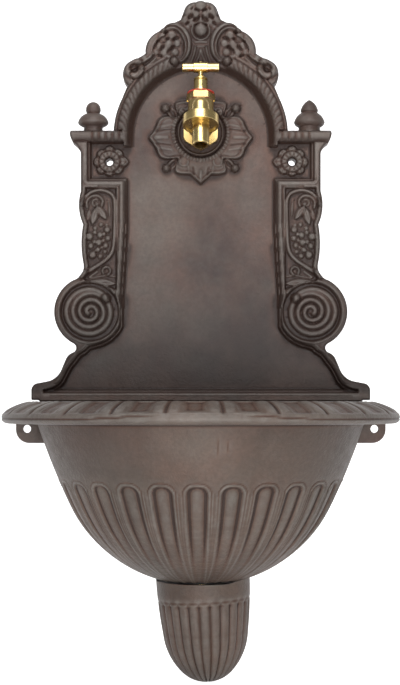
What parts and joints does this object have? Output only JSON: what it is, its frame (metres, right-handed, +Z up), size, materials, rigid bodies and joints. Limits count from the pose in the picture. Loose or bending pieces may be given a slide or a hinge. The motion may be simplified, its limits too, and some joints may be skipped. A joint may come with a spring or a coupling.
{
  "type": "garden wall fountain",
  "caption": "Cast iron wall fountain: arched, crested back plate with side scrolls and brass T-handle tap over a half-round fluted basin with overhanging rim and rounded console below",
  "frame": {"origin": "middle of the line between the two wall-screw holes, on the wall plane at the back of the plate", "axes": "+X to the right seen from the front, +Y into the wall, +Z up"},
  "size_m": [0.423, 0.2435, 0.7263],
  "materials": {
    "cast_iron": "dark brown patina, rusty recesses",
    "brass": "polished",
    "red_plastic": "glossy red",
    "rubber": "black rubber",
    "steel": "zinc-plated steel",
    "fibre": "brown pressed fibre"
  },
  "bodies": {
    "fountain": {"back_plate": "cast_iron", "basin": "cast_iron", "console": "cast_iron", "plate_screws": "steel", "plate_screw_washers": "steel", "tap_body": "brass", "shank_washer": "fibre", "shank_backnut": "brass", "backnut_washer": "brass", "bonnet": "brass", "bonnet_seal": "fibre", "red_ring": "red_plastic", "gland_nut": "brass", "gland_packing": "fibre", "union_nut": "brass", "hose_tail": "brass", "hose_seal": "rubber", "waste_grate": "brass", "waste_seal_top": "rubber", "waste_seal_bottom": "rubber", "waste_washer": "brass", "waste_backnut": "brass"},
    "valve": {"jumper": "brass", "valve_washer": "rubber", "washer_nut": "brass"},
    "handle": {"spindle": "brass", "handle_hub": "brass", "handle_bar": "brass", "handle_screw": "brass"}
  },
  "joints": [
    {"name": "valve_lift", "type": "slide", "parent": "fountain", "child": "valve", "axis": [0, 0.1736, 0.9848], "range_m": [0, 0.00564]},
    {"name": "handle_turn", "type": "hinge", "parent": "valve", "child": "handle", "pos_m": [0, -0.058, 0.032], "axis": [0, 0.1736, 0.9848], "range_deg": [0, 810]}
  ],
  "couplings": [
    {"joint": "valve_lift", "follows": "handle_turn", "m_per_rad": 0.00039789}
  ]
}
